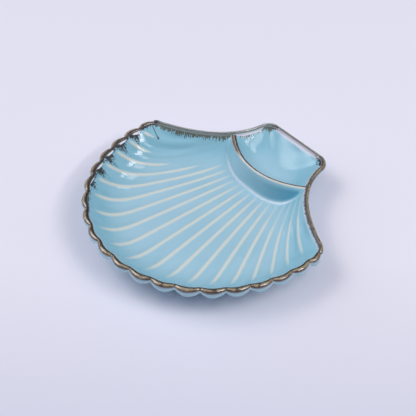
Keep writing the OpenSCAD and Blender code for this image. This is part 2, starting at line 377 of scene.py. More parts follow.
# The outer face: it follows the lip's own edge, which hangs lower on each lobe than at the notches
notch_edge_h = 2.8 * mm
lobe_edge_h = 7.4 * mm
under_edge_gap = 1.2 * mm
outer_press = {
    **inner_press,
    "Floor height": foot_h,
    "Lip drop": notch_edge_h + under_edge_gap,
    "Lip rounding": 0.0,
    "Wall run": under_run,
    "Wall power": 2.4,
    "Hinge brink": 0.0,
    "Flute sink": 0.0,
    "Flute cut": 0.0,
    "Flute drop": lobe_edge_h - notch_edge_h,
}


# How deep in its flute a place lies: 0 on the rib, 1 in the middle
def in_flute(u):
    return np.abs(np.sin(math.pi / 2 * flutes * u))


# The same with the cusp at the rib rounded, as the glaze leaves it
soft_cusp = 0.02


def in_soft_flute(u):
    return np.sqrt(in_flute(u) ** 2 + soft_cusp) - math.sqrt(soft_cusp)


# The flutes start a little way in front of the divider
flute_start = 10 * mm
flute_fade = 9 * mm


def ahead_of_divider(u, t):
    return np.clip((t * fan_length(u) - flute_start) / flute_fade, 0, 1)


def flat_vectors(plan):
    flat = np.asarray(plan).reshape(-1, 2)
    return np.column_stack([flat, np.zeros(len(flat))])


columns = len(across)
rows = len(along)
plan = place(across[None, :], along[:, None])
across_all = np.broadcast_to(across, (rows, columns)).ravel()
along_all = np.repeat(along, columns)
blank_values = {
    "flute": in_soft_flute(across_all),
    "ahead": ahead_of_divider(across_all, along_all),
    "outward": flat_vectors(outwards(across_all)),
}
bowl = mesh_object("bowl_blank", flat_vectors(plan), grid_faces(rows, columns), **blank_values)
run_tree(bowl, press, inner_press)
under = mesh_object("under_blank", flat_vectors(plan), grid_faces(rows, columns)[:, ::-1], **blank_values)
run_tree(under, press, outer_press)
bowl_points = values_of(bowl.data, "position").astype(float)
under_points = values_of(under.data, "position").astype(float)


# The loop of grid points round the edge: along the fan, up the right side, along the hinge, down the left
def around(grid):
    return np.concatenate([grid[-1, :], grid[-2::-1, -1], grid[0, -2::-1], grid[1:-1, 0]])


edge_index = around(np.arange(rows * columns).reshape(rows, columns))
edge_n = len(edge_index)
flat_edge = around(plan)
step = np.roll(flat_edge, -1, axis=0) - np.roll(flat_edge, 1, axis=0)
edge_out = np.column_stack([step[:, 1], -step[:, 0]]) / np.linalg.norm(step, axis=1)[:, None]


# 1 where the loop runs through the given cells, 0 elsewhere
def on_edge(cells):
    grid = np.zeros((rows, columns))
    grid[cells] = 1
    return around(grid)


on_fan = on_edge(np.s_[-1, :])
edge_across = around(np.broadcast_to(across, (rows, columns)))
lobe = on_fan * in_flute(edge_across)
inner_edge = bowl_points[edge_index]
lip_w = rim_w + (rim_swell - flute_swell) * lobe


# A share round the edge, blurred a little where one side of the platter turns into the next
edge_blur = 8


def blurred(share):
    for _ in range(edge_blur):
        share = (np.roll(share, 1) + 2 * share + np.roll(share, -1)) / 4
    return share


on_hinge = blurred(on_edge(np.s_[0, 1:-1]))
on_left = blurred(on_edge(np.s_[:-1, 0]))
on_right = blurred(on_edge(np.s_[:-1, -1]))


def smooth_step(low, high, x):
    part = np.clip((x - low) / (high - low), 0, 1)
    return part * part * (3 - 2 * part)


# How far the brown of the rim ran down the bowl: a patch on the first lobes past the left corner's own,
# specks round those and down the right side, a short even fringe down the left side, and more at the ears
patch_reach = 6 * mm
patch_at = 0.45
patch_width = 0.24
fringe_reach = 3.4 * mm
ear_reach = np.array([3.2, 5]) * mm
ear_width = 5.5 * mm
speck_reach = 1.2 * mm
in_lobe = ((edge_across + 1) / 2 * flutes) % 1
first_lobes = (edge_across > -1 + 2 / flutes) * (1 - smooth_step(-0.62, -0.3, edge_across))
patch = np.exp(-((in_lobe - patch_at) / patch_width) ** 4) * first_lobes
left_half = 1 - smooth_step(-0.55, -0.1, edge_across)
run_reach = on_fan * (patch_reach * patch + speck_reach * left_half)
run_reach += fringe_reach * on_left + speck_reach / 4 * on_right
for side, reach in zip((-1, 1), ear_reach):
    ear_gap = np.linalg.norm(flat_edge - np.array([side * (ear_half_w - ear_r / 3), hinge_reach]), axis=1)
    run_reach += reach * np.exp(-(ear_gap / ear_width) ** 2)

# The sharp corner at the left end of the fan took more brown than the rest of the lip
corner_gap = np.linalg.norm(flat_edge - corner * np.array([-1, 1]), axis=1)
corner_reach = 1.5 * mm
corner_width = 3 * mm
corner_share = np.exp(-(corner_gap / corner_width) ** 2)
run_reach += corner_reach * corner_share

# Between the lip and the run a white highlight is painted on the first half of each of those lobes,
# where the run starts further in. By the cup the run starts further in.
cup_left = on_left * smooth_step(divider_end[1], divider_end[1] + 3 * mm, flat_edge[:, 1])
cup_left *= 1 - smooth_step(hinge_reach - 12 * mm, hinge_reach - 7 * mm, flat_edge[:, 1])
streak = on_fan * first_lobes * smooth_step(0.02, 0.12, in_lobe) * (1 - smooth_step(0.4, 0.6, in_lobe))
run_from = 1.5 * mm * streak + 2.2 * mm * cup_left

# How far in from the edge the blue is stretched thin and shows the pale clay, partly a painted reflection on
# the rounded lip
thin_reach = 0.3 * mm * on_fan + 2.2 * mm * on_hinge + 0.5 * mm * on_left + 1.0 * mm * on_right
thin_reach += 1.7 * mm * cup_left
lobe_power = 0.7
edge_h = mix(notch_edge_h, lobe_edge_h, lobe ** lobe_power)

# The lip's rounded outer edge, as half an ellipse that hangs from the rim
lip_round = 2.4 * mm
lip_steps = 10
lip_loops = []
for k in range(lip_steps + 1):
    turn = math.pi / 2 - math.pi * k / lip_steps
    reach = lip_w - lip_round + lip_round * math.cos(turn)
    loop = inner_edge.copy()
    loop[:, :2] += edge_out * reach[:, None]
    loop[:, 2] -= edge_h / 2 * (1 - math.sin(turn))
    lip_loops.append(loop)

sheet_n = rows * columns
loop_index = [edge_index]
loop_index += [2 * sheet_n + k * edge_n + np.arange(edge_n) for k in range(len(lip_loops))]
loop_index += [edge_index + sheet_n]
body_points = np.concatenate([bowl_points, under_points] + lip_loops)
body_faces = np.concatenate([
    grid_faces(rows, columns),
    grid_faces(rows, columns, sheet_n)[:, ::-1],
    loop_faces(np.array(loop_index)),
])
bowl_values = {key: values_of(bowl.data, key) for key in ("from_rim", "rim_spot", "open_share", "flute")}
body_values = {key: np.concatenate([value, value, value[np.tile(edge_index, len(lip_loops))]])
               for key, value in bowl_values.items()}
lip_outside = np.repeat(np.arange(lip_steps + 1) > lip_steps / 3, edge_n)
body_values["outside"] = np.concatenate([np.zeros(sheet_n), np.ones(sheet_n), lip_outside])


# Each point of the clay takes its run and thin edge from the nearest rim point, in chunks to spare memory
rim_chunks = 60


def rim_values(rim_spots):
    near_rim = np.concatenate([
        np.argmin(((part[:, None, :2] - flat_edge[None, :, :]) ** 2).sum(axis=2), axis=1)
        for part in np.array_split(rim_spots, rim_chunks)
    ])
    around_rim = {"run_reach": run_reach, "run_from": run_from, "thin_reach": thin_reach,
                  "streak": streak, "olive": on_left}
    return {key: value[near_rim] for key, value in around_rim.items()}


body_values.update(rim_values(body_values["rim_spot"]))
bpy.data.objects.remove(bowl)
bpy.data.objects.remove(under)

# The finished platter stands with the middle of its length at the origin
shift_y = -(body_points[:, 1].min() + body_points[:, 1].max()) / 2
body_points[:, 1] += shift_y

# The blue is a little cloudy and deeper on slopes. On the divider's face it is darker towards the right, it
# is painted lighter as painted light, and a pale painted highlight runs along the face's foot
cloud_size = 35 * mm


def celadon_colour(tree, spot):
    cloud = node(tree, "TexNoise", {"Vector": spot, "Scale": 1 / cloud_size, "Detail": 3.0})
    flat = node(tree, "Mix", {0: cloud, 6: linear("#ADD0DE"), 7: linear("#96C2D2")}, data_type="RGBA")
    sloping = node(tree, "Mix", {0: cloud, 6: linear("#95C7D8"), 7: linear("#82BACB")}, data_type="RGBA")
    opened, face_painted_light, face_darker_right, fillet_glint = [node(tree, "Attribute", attribute_name=key).outputs["Fac"]
                                 for key in ("open_share", "face_painted_light", "face_darker_right", "fillet_glint")]
    opened = node(tree, "MapRange", [opened, 0.55, 1.0, 0.0, 1.0])
    blue = node(tree, "Mix", {0: opened, 6: sloping, 7: flat}, data_type="RGBA")
    for share, code in ((face_painted_light, "#BCE9EE"), (face_darker_right, "#4F97B3"), (fillet_glint, "#D6E4EE")):
        blue = node(tree, "Mix", {0: share, 6: blue, 7: linear(code)}, data_type="RGBA")
    return blue


# Starts a material, and gives it with its tree, the place on the piece and the values that the mesh carries
def start_material(name, *keys):
    made = bpy.data.materials.new(name)
    made.use_nodes = True
    tree = made.node_tree
    tree.nodes.clear()
    spot = node(tree, "TexCoord").outputs["Object"]
    carried = [node(tree, "Attribute", attribute_name=key).outputs["Fac"] for key in keys]
    return [made, tree, spot] + carried


# A noise round nought, half its strength each way
def centred_noise(tree, spot, size, strength):
    noise = node(tree, "TexNoise", {"Vector": spot, "Scale": 1 / size, "Detail": 2.0})
    return node(tree, "Math", [noise, strength, -strength / 2], operation="MULTIPLY_ADD")


def end_material(tree, surface):
    node(tree, "OutputMaterial", [node(tree, "BsdfPrincipled", surface)])


# Blue glaze over stoneware, fired to a hard gloss. It is paler where it is stretched thin over an edge, with
# a painted reflection along the lip, and it has a pinhole here and there.
celadon, tree, spot, outer, gap, thin_and_sheen_edge, run, olive, start_gap, painted_glint = start_material(
    "fired_blue_gloss_glaze", "outside", "from_rim", "thin_reach", "run_reach", "olive", "run_from", "streak")
inner = node(tree, "Math", [1.0, outer], operation="SUBTRACT")

# Painted light: the outer wall is painted paler, to stand for the light it catches
outer_painted_light_share = 0.35
outer_painted_light = node(tree, "Math", [outer, outer_painted_light_share], operation="MULTIPLY")
thin_and_sheen_edge = node(tree, "Math", [thin_and_sheen_edge, gap], operation="SUBTRACT")
thin_and_sheen_edge = node(tree, "MapRange", [thin_and_sheen_edge, -0.6 * mm, 0.6 * mm, 0.0, 0.75])
thin_and_sheen_edge = node(tree, "Math", [thin_and_sheen_edge, inner], operation="MULTIPLY")
pinhole_gap = 26 * mm
pinhole_r = 0.5 * mm
pinhole_share = pinhole_r / pinhole_gap
pinhole = node(tree, "TexVoronoi", {"Vector": spot, "Scale": 1 / pinhole_gap})
pinhole = node(tree, "MapRange", [pinhole, pinhole_share * 0.5, pinhole_share, 0.75, 0.0])

# The brown ran down in teeth, whose length follows a noise laid along the rim, with a feathered edge.
# Teeth and feathers are drawn coarser than real ones, so that they show.
tooth_w = 1.0 * mm
feather_w = 1.7 * mm
feather_from = 2 * mm
fringe_evenness = 0.65
rim_spot = node(tree, "Attribute", attribute_name="rim_spot").outputs["Vector"]
tooth = node(tree, "TexNoise", {"Vector": rim_spot, "Scale": 1 / tooth_w, "Detail": 1.0})
tooth = node(tree, "MapRange", [tooth, 0.3, 0.7, 0.25, 1.35])
feather = node(tree, "TexNoise", {"Vector": spot, "Scale": 1 / feather_w, "Detail": 2.0})
feather = node(tree, "MapRange", [feather, 0.38, 0.62, -2.2 * mm, 2.0 * mm])
long_run = node(tree, "Math", [run, 1 / feather_from], operation="MULTIPLY", use_clamp=True)
uneven = node(tree, "Math", [olive, -fringe_evenness, 1.0], operation="MULTIPLY_ADD")
for share in (long_run, uneven):
    feather = node(tree, "Math", [feather, share], operation="MULTIPLY")
drip = node(tree, "Math", [run, tooth], operation="MULTIPLY")
drip = node(tree, "Math", [drip, gap], operation="SUBTRACT")
drip = node(tree, "Math", [drip, feather], operation="ADD")
drip = node(tree, "MapRange", [drip, -0.2 * mm, 0.3 * mm, 0.0, 0.97])
below = node(tree, "Math", [gap, start_gap], operation="SUBTRACT")
below = node(tree, "MapRange", [below, -0.3 * mm, 0.2 * mm, 0.0, 1.0])
for share in (inner, below):
    drip = node(tree, "Math", [drip, share], operation="MULTIPLY")
brown_run = node(tree, "Mix", {0: olive, 6: linear("#2E2422"), 7: linear("#5B5F54")}, data_type="RGBA")

# One thin run from the left corner, with a bead at its end
thin_run_r = 0.4 * mm
bead_r = 1.0 * mm
bead_from = 0.85
bead_start = np.array([-105, 22.2, 0]) * mm
bead_end = np.array([-92.2, 19.2, 0]) * mm
bead_way = bead_end - bead_start
bead_length = float(np.linalg.norm(bead_way))
flat_spot = node(tree, "VectorMath", [spot, (1, 1, 0)], operation="MULTIPLY")
arm = node(tree, "VectorMath", [flat_spot, bead_start], operation="SUBTRACT")
along_run = node(tree, "VectorMath", [arm, bead_way / bead_length ** 2], operation="DOT_PRODUCT")
along_run = node(tree, "Clamp", [along_run])
foot_spot = node(tree, "VectorMath", {0: bead_way, "Scale": along_run}, operation="SCALE")
off_run = node(tree, "VectorMath", [arm, foot_spot], operation="DISTANCE")
run_r = node(tree, "MapRange", [along_run, bead_from, 1.0, thin_run_r, bead_r])
off_run = node(tree, "Math", [run_r, off_run], operation="SUBTRACT")
thin_run = node(tree, "MapRange", [off_run, -0.2 * mm, 0.2 * mm, 0.0, 0.9])
thin_run = node(tree, "Math", [thin_run, inner], operation="MULTIPLY")

# A painted white highlight between lip and run
glint_edge = node(tree, "MapRange", [gap, 0.0, 0.3 * mm, 0.0, 1.0])
above = node(tree, "Math", [1.0, below], operation="SUBTRACT")
for share in (glint_edge, above, inner):
    painted_glint = node(tree, "Math", [painted_glint, share], operation="MULTIPLY")

# The coats, from the blue outwards
colour = celadon_colour(tree, spot)
for share, coat in ((outer_painted_light, linear("#CDE6F0")), (thin_and_sheen_edge, linear("#D5CED7")), (pinhole, linear("#5A6B70")),
                    (drip, brown_run), (thin_run, linear("#4A4644")), (painted_glint, linear("#F2F0F4"))):
    colour = node(tree, "Mix", {0: share, 6: colour, 7: coat}, data_type="RGBA")
end_material(tree, {"Base Color": colour, "Roughness": 0.1, "IOR": 1.5})

dish = mesh_object("glazed_dish", body_points, body_faces, **body_values)
dish.data.materials.append(celadon)
dish.data.polygons.foreach_set("use_smooth", [True] * len(dish.data.polygons))
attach(dish, "root")
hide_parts("dish_body")

# Divider
# A curved wall of the same clay, luted across the dish to close off the dip cup.
# Its face is steep towards the fan, with a fillet at its foot, and hollow towards the cup.

crest_half = 2 * mm
fan_face_run = 8.6 * mm
fan_face_run_right = 10.4 * mm
fan_face_run_ends = 4.3 * mm
cup_face_run = 23 * mm
fan_face_power = 1.1
cup_face_power = 3
crest_share = 0.97
shoulder_round = 0.7 * mm
foot_round = 2.2 * mm
divider_t = 0.8 * mm
luting_sink = 0.12 * mm
fillet_glint_half = 0.8 * mm
fillet_glint_strength = 0.8
# Painted light: the share by which the divider's face is painted lighter
face_painted_light_share = 0.15
thin_share = 1 / 40
rounding_steps = 6


def fan_run(u):
    middle = mix(fan_face_run, fan_face_run_right, smooth_step(0, 0.35, u))
    near_end = smooth_step(np.where(u < 0, 0.2, 0.5), np.where(u < 0, 0.9, 1), np.abs(u))
    return mix(middle, fan_face_run_ends, near_end)


def face_share(u, away):
    run = np.where(away > 0, fan_run(u), cup_face_run)
    power = np.where(away > 0, fan_face_power, cup_face_power)
    part = np.clip((np.abs(away) - crest_half) / run, 0, 1)
    return crest_share * (1 - part) ** power


# The face with its shoulders and foot rounded, by averaging it over a short stretch
def soft_share(u, away):
    part = np.clip((away - crest_half) / fan_run(u), 0, 1)
    spread = mix(shoulder_round, foot_round, part)
    steps = range(-rounding_steps, rounding_steps + 1)
    return sum(face_share(u, away + spread * k / rounding_steps) for k in steps) / len(steps)


# Closed strips laid on the mould and pressed with it: each has a shaped top, and a bottom that lies in the
# clay. Where a strip thins out to nothing, its edge dips below the clay's surface.
def pressed_strips(name, strips, bottom_lift, glaze):
    points = []
    faces = []
    values = {}
    start = 0
    for strip in strips:
        height, width = strip["across"].shape
        count = height * width
        points += [flat_vectors(strip["plan"])] * 2
        border = start + around(np.arange(count).reshape(height, width))
        faces += [grid_faces(height, width, start), grid_faces(height, width, start + count)[:, ::-1],
                  loop_faces(np.array([border, border + count]))]
        start += 2 * count
        bottom = {"crest": np.zeros(count), "lift": np.full(count, bottom_lift)}
        for key in strip.keys() - {"plan", "across"}:
            top = strip[key].ravel()
            values.setdefault(key, []).extend([top, bottom.get(key, top)])
        values.setdefault("outward", []).extend([flat_vectors(outwards(strip["across"].ravel()))] * 2)
    joined = {key: np.concatenate(parts) for key, parts in values.items()}
    piece = mesh_object(name, np.concatenate(points), np.concatenate(faces), **joined)
    run_tree(piece, press, {**inner_press, "Glaze": glaze})
    store(piece.data, rim_values(values_of(piece.data, "rim_spot")))
    moved = values_of(piece.data, "position").astype(float)
    moved[:, 1] += shift_y
    piece.data.vertices.foreach_set("co", moved.ravel())
    piece.data.update()
    return piece


divider_columns = 240
cup_face_rows = 28
cup_row_crowding = 1.3
crest_rows = 9
fan_face_rows = 34
face_fade = 3 * mm
divider_across = np.linspace(-1, 1, divider_columns)
cup_part = np.linspace(1, 0, cup_face_rows) ** cup_row_crowding
cup_away = -crest_half - (cup_face_run + shoulder_round) * cup_part
crest_away = np.linspace(-crest_half, crest_half, crest_rows)[1:-1]
fan_part = np.linspace(0, 1, fan_face_rows)
across_grid, away_grid = np.meshgrid(divider_across, np.concatenate([cup_away, crest_away, fan_part]))
face_end = crest_half + fan_run(divider_across)
away_grid[-fan_face_rows:] = crest_half + (face_end + foot_round - crest_half) * fan_part[:, None]
share_grid = soft_share(across_grid, away_grid)
on_face = smooth_step(crest_half, crest_half + face_fade, away_grid)
on_face *= 1 - smooth_step(face_end - face_fade, face_end, away_grid)
# The divider's face is painted darker towards the right
face_right_darkening = on_face * smooth_step(-0.5, 0.9, across_grid)
# Painted highlight: a pale line along the fillet at the foot of the divider's face
fillet_glint_line = fillet_glint_strength * np.exp(-((away_grid - face_end) / fillet_glint_half) ** 2)
fillet_glint_line *= smooth_step(-0.62, -0.42, across_grid) * (1 - smooth_step(0.6, 0.85, across_grid))
divider = pressed_strips("glazed_divider", [{
    "plan": by_crest(across_grid, away_grid),
    "across": across_grid,
    "flute": in_soft_flute(across_grid),
    "ahead": ahead_of_divider(across_grid, away_grid / fan_length(across_grid)),
    "crest": share_grid,
    "lift": -luting_sink * np.clip(1 - share_grid / thin_share, 0, 1),
    "face_darker_right": face_right_darkening,
    "face_painted_light": face_painted_light_share * on_face,
    "fillet_glint": fillet_glint_line,
}], -divider_t, celadon)
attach(divider, "root")
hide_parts("dip_divider")

# Raised ribs
# Nineteen thin ridges of the same clay between the flutes, pressed with the dish.
# The glaze runs off them in the kiln, so that their crests break to a pale cream.

rib_h = 0.42 * mm
rib_half_inner = 2.3 * mm
rib_half_outer = 3.4 * mm
rib_rows = 90
rib_columns = 13
rib_edge_sink = 0.05 * mm
rib_bottom = 0.7 * mm
rib_fade = 14 * mm
rib_lip_fade = 4 * mm
rib_faint = 0.35
rib_right_share = 0.85


# A rib starts faintly by the divider, or on the left side out in the dish, and is in full strength further on
def rib_first(u):
    return 0.05 + 0.8 * smooth_step(0.45, 0.9, -u)


def rib_full(u):
    return 0.17 + 0.7 * smooth_step(0.45, 0.9, -u) + 0.2 * smooth_step(0.3, 0.7, u)


# It fades out at the lip, and on the right half already over the lower part of the wall
def rib_last(u):
    return 0.99 - 0.07 * smooth_step(-0.2, 0.3, u)


def rib_strip(k):
    centre = -1 + 2 * k / flutes
    length = fan_length(np.array(centre))
    first = rib_first(centre)
    last = rib_last(centre)
    part = np.linspace(0, 1, rib_rows)
    t = mix(first, last, part)
    side = 1 / flutes
    width = np.linalg.norm(place(centre + side, t) - place(centre - side, t), axis=-1)
    fade = min(rib_fade, (last - first) * length / 2)
    lip_fade = mix(rib_lip_fade, fade, smooth_step(-0.6, 0, centre))
    taper = smooth_step(0, 1, np.minimum((t - first) * length / fade, (last - t) * length / lip_fade))
    half = mix(rib_half_inner, rib_half_outer, t) * mix(0.7, 1, taper)
    half *= mix(1, rib_right_share, smooth_step(0.3, 0.8, centre))
    s = np.linspace(-1, 1, rib_columns)
    u = centre + s[None, :] * (half / width)[:, None] * 2 * side
    t_grid = np.repeat(t[:, None], rib_columns, axis=1)
    bell = np.repeat(np.cos(s * math.pi / 2)[None, :] ** 2, rib_rows, axis=0)
    full = rib_full(centre)
    strength = mix(rib_faint, 1, smooth_step(full - 0.1, full + 0.1, t)) * taper
    strength *= mix(1, rib_right_share, smooth_step(0.5, 0.9, centre))
    return {
        "plan": place(u, t_grid),
        "across": u,
        "flute": in_soft_flute(u),
        "ahead": ahead_of_divider(u, t_grid),
        "lift": bell * taper[:, None] * (rib_h + rib_edge_sink) - rib_edge_sink,
        "thin": bell,
        "strength": np.repeat(strength[:, None], rib_columns, axis=1),
    }


# Thin glaze over a clay ridge: cream on the crest, blue again at its sides
patchy_size = 6 * mm
patchy_strength = 0.3
cream, tree, spot, thin, strength = start_material("thin_cream_break_glaze", "thin", "strength")
blue = celadon_colour(tree, spot)
patchy = centred_noise(tree, spot, patchy_size, patchy_strength)
thin = node(tree, "Math", [thin, patchy], operation="ADD")
thin = node(tree, "MapRange", [thin, 0.0, 0.9, 0.0, 0.85], interpolation_type="SMOOTHSTEP")
thin = node(tree, "Math", [thin, strength], operation="MULTIPLY")
colour = node(tree, "Mix", {0: thin, 6: blue, 7: linear("#D9DCD0")}, data_type="RGBA")
end_material(tree, {"Base Color": colour, "Roughness": 0.14, "IOR": 1.5})

ribs = pressed_strips("cream_break_ribs", [rib_strip(k) for k in range(1, flutes)], -rib_bottom, cream)
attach(ribs, "root")
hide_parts("raised_ribs")

# Rim glaze
# A thick roll of brown reactive glaze round the lip, where the blue was wiped back before firing.
# It is pinched at each notch between two lobes, tan on its back and almost black along both sides.

roll_over = -0.25 * mm
roll_h = 1.9 * mm
notch_roll_h = 1.0 * mm
notch_roll_in = 0.9 * mm
hinge_roll_in = 2.1 * mm
side_roll_in = 0.6 * mm
crease_w = 1.1 * mm
ring_r = 1 * mm
ring_points = 24
unevenness = 0.25
unevenness_size = 9 * mm

roll, given, spot = geometry_tree("glaze roll", {
    "Path": "Geometry",
    "Ring radius": "Float",
    "Ring points": "Int",
    "Unevenness": "Float",
    "Unevenness scale": "Float",
    "Glaze": "Material",
}, "Roll")
line = node(roll, "GeometryNodeMeshToCurve", [given["Path"]])
line = node(roll, "GeometryNodeStoreNamedAttribute", {0: line, "Name": "centre", "Value": spot},
            data_type="FLOAT_VECTOR")
line = node(roll, "GeometryNodeSetCurveNormal", [line], mode="Z_UP")
ring = node(roll, "GeometryNodeCurvePrimitiveCircle", {"Resolution": given["Ring points"],
                                                       "Radius": given["Ring radius"]})
swept = node(roll, "GeometryNodeCurveToMesh", [line, ring])
centre, way = [node(roll, "GeometryNodeInputNamedAttribute", [key], data_type="FLOAT_VECTOR")
               for key in ("centre", "outward")]
half_w, half_h = [node(roll, "GeometryNodeInputNamedAttribute", [key], data_type="FLOAT")
                  for key in ("half_w", "half_h")]
arm = node(roll, "VectorMath", [spot, centre], operation="SUBTRACT")
back = node(roll, "Math", [1.0, given["Ring radius"]], operation="DIVIDE")
arm = node(roll, "VectorMath", {0: arm, "Scale": back}, operation="SCALE")
band = node(roll, "VectorMath", [arm, way], operation="DOT_PRODUCT")
swept = node(roll, "GeometryNodeStoreNamedAttribute", {0: swept, "Name": "band", "Value": band},
             data_type="FLOAT")
rough = node(roll, "TexNoise", {"Vector": spot, "Scale": given["Unevenness scale"]})
rough = node(roll, "Math", [rough, 0.5], operation="SUBTRACT")
rough = node(roll, "Math", [rough, given["Unevenness"], 1.0], operation="MULTIPLY_ADD")
halves = node(roll, "CombineXYZ", [half_w, half_w, half_h])
arm = node(roll, "VectorMath", [arm, halves], operation="MULTIPLY")
arm = node(roll, "VectorMath", {0: arm, "Scale": rough}, operation="SCALE")
spot = node(roll, "VectorMath", [centre, arm], operation="ADD")
swept = node(roll, "GeometryNodeSetPosition", {0: swept, "Position": spot})
end_tree(roll, swept, given["Glaze"])


def colour_stops(ramp, stops):
    while len(ramp.elements) < len(stops):
        ramp.elements.new(0.5)
    for element, (at, code) in zip(ramp.elements, stops):
        element.position = at
        element.color = linear(code)


# Iron brown reactive glaze: lustrous, tan where it is thick, nearly black where it thins out at both borders
# and in the crease of each notch, and more olive down the left side
mottle_size = 6 * mm
mottle_strength = 2.6
grit_size = 1.2 * mm
grit_strength = 0.6
brown, tree, spot, band, olive, dark_to, crease = start_material("brown_reactive_rim_glaze", "band", "olive",
                                                                 "dark_to", "crease")
mottle = centred_noise(tree, spot, mottle_size, mottle_strength)
grit = centred_noise(tree, spot, grit_size, grit_strength)
shade = node(tree, "Math", [band, mottle], operation="ADD")
shade = node(tree, "Math", [shade, grit], operation="ADD")
shade = node(tree, "MapRange", [shade, -1.0, 1.0, 0.0, 1.0])
tan_ramp = node(tree, "ValToRGB", [shade])
colour_stops(tan_ramp.color_ramp, ((0.0, "#40352F"), (0.28, "#574A3D"), (0.44, "#7D7056"), (0.64, "#A39A7E"),
                                   (0.82, "#8A6F45"), (1.0, "#4A3A28")))
olive_shade = node(tree, "Math", [mottle, 0.4, band], operation="MULTIPLY_ADD")
olive_shade = node(tree, "MapRange", [olive_shade, -1.0, 1.0, 0.0, 1.0])
olive_ramp = node(tree, "ValToRGB", [olive_shade])
colour_stops(olive_ramp.color_ramp, ((0.02, "#86A0A3"), (0.1, "#8A9490"), (0.2, "#6F6C62"), (0.28, "#5C574E"),
                                     (0.38, "#8F9490"), (0.5, "#BFC8C6"), (0.8, "#8B8A82")))
colour = node(tree, "Mix", {0: olive, 6: tan_ramp, 7: olive_ramp}, data_type="RGBA")
dark_to = node(tree, "Math", [mottle, 1.2, dark_to], operation="MULTIPLY_ADD")
inner_line = node(tree, "Math", [dark_to, band], operation="SUBTRACT")
inner_line = node(tree, "MapRange", [inner_line, -0.12, 0.1, 0.0, 0.85])
not_olive = node(tree, "Math", [1.0, olive], operation="SUBTRACT")
inner_line = node(tree, "Math", [inner_line, not_olive], operation="MULTIPLY")
dark = node(tree, "MapRange", [band, 0.82, 0.98, 0.0, 0.85])
dark = node(tree, "Math", [inner_line, dark], operation="MAXIMUM")
dark = node(tree, "Math", [dark, crease], operation="MAXIMUM")
colour = node(tree, "Mix", {0: dark, 6: colour, 7: linear("#2E2523")}, data_type="RGBA")
end_material(tree, {"Base Color": colour, "Roughness": 0.1, "IOR": 2.0})

notch_roll = on_fan * (1 - lobe ** lobe_power)
roll_in = hinge_roll_in * on_hinge + side_roll_in * (on_left + on_right)
roll_out = lip_w + roll_over - notch_roll_in * notch_roll
rim_path = inner_edge.copy()
rim_path[:, :2] += edge_out * ((roll_in + roll_out) / 2)[:, None]
rim_path[:, 1] += shift_y
from_notch = on_fan * np.minimum(in_lobe, 1 - in_lobe) * flute_w
crease = on_fan * np.exp(-(from_notch / crease_w) ** 2)
crease = np.maximum(crease, corner_share)
dark_to = -0.4 + 0.3 * on_fan * smooth_step(-0.6, -0.3, edge_across)
rim_edges = [(i, (i + 1) % edge_n) for i in range(edge_n)]
rim = mesh_object("rim_glaze_roll", rim_path, [], rim_edges,
                  half_w=(roll_out - roll_in) / 2,
                  half_h=mix(roll_h, notch_roll_h, np.maximum(notch_roll, on_hinge)),
                  olive=on_left, crease=crease, dark_to=dark_to,
                  outward=flat_vectors(edge_out))
run_tree(rim, roll, {"Ring radius": ring_r, "Ring points": ring_points, "Unevenness": unevenness,
                     "Unevenness scale": 1 / unevenness_size, "Glaze": brown})
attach(rim, "root")
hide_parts("rim_glaze_band")

# Crest glaze
# A thin line of the rim's brown glaze along the divider's crest, dark towards the cup.
# Towards the fan it breaks to a cream edge, and at the left end it widens to a brown patch.

line_half = 2.1 * mm
patch_half = 3.0 * mm
line_h = 0.35 * mm
line_bottom = 0.5 * mm
line_rows = 15
line_columns = 300
line_fullness = 0.8
line_spread = 0.985

# The same brown over blue, by its place across the line: dark on the cup side, cream where it breaks
waver_size = 4 * mm
waver_strength = 0.5
line_glaze, tree, spot, band, patch = start_material("crest_break_glaze", "band", "patch")
waver = centred_noise(tree, spot, waver_size, waver_strength)
shade = node(tree, "Math", [band, waver], operation="ADD")
shade = node(tree, "MapRange", [shade, -1.0, 1.0, 0.0, 1.0])
line_ramp = node(tree, "ValToRGB", [shade])
colour_stops(line_ramp.color_ramp, ((0.0, "#7C97A0"), (0.08, "#54443F"), (0.34, "#46383A"), (0.44, "#B9B3A6"),
                                    (0.56, "#DDD9D6"), (0.8, "#D0D2C4"), (1.0, "#A3BFBF")))
patch_ramp = node(tree, "ValToRGB", [shade])
colour_stops(patch_ramp.color_ramp, ((0.0, "#8FB2C0"), (0.12, "#3E3230"), (0.3, "#4F423D"),
                                     (0.42, "#A39C93"), (0.55, "#85786B"), (0.68, "#43362F"),
                                     (0.85, "#B3B3A6"), (1.0, "#A5BDBD")))
colour = node(tree, "Mix", {0: patch, 6: line_ramp, 7: patch_ramp}, data_type="RGBA")
end_material(tree, {"Base Color": colour, "Roughness": 0.12, "IOR": 1.6})

line_across = np.linspace(-line_spread, line_spread, line_columns)
line_patch = 1 - smooth_step(-0.5, -0.25, line_across)
line_steps = np.linspace(-1, 1, line_rows)
across_grid, band_grid = np.meshgrid(line_across, line_steps)
away_grid = band_grid * mix(line_half, patch_half, line_patch)[None, :]
hump = np.cos(band_grid * math.pi / 2) ** line_fullness
crest_line = pressed_strips("crest_glaze_line", [{
    "plan": by_crest(across_grid, away_grid),
    "across": across_grid,
    "crest": soft_share(across_grid, away_grid),
    "lift": hump * line_h - luting_sink,
    "band": band_grid,
    "patch": np.repeat(line_patch[None, :], line_rows, axis=0),
}], -line_bottom, line_glaze)
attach(crest_line, "root")
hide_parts("divider_glaze_band")

# Foot ring
# The turned ring that the platter stands on, wiped clean of glaze so that it doesn't stick to the kiln shelf.
# Bare stoneware, fine grained and matt.

foot_y = -14 * mm
foot_outer = 52 * mm
foot_inner = 46 * mm
foot_ease = 0.8 * mm
foot_into_clay = 0.4 * mm
foot_turns = 192
ease_steps = 7
grain_size = 0.8 * mm

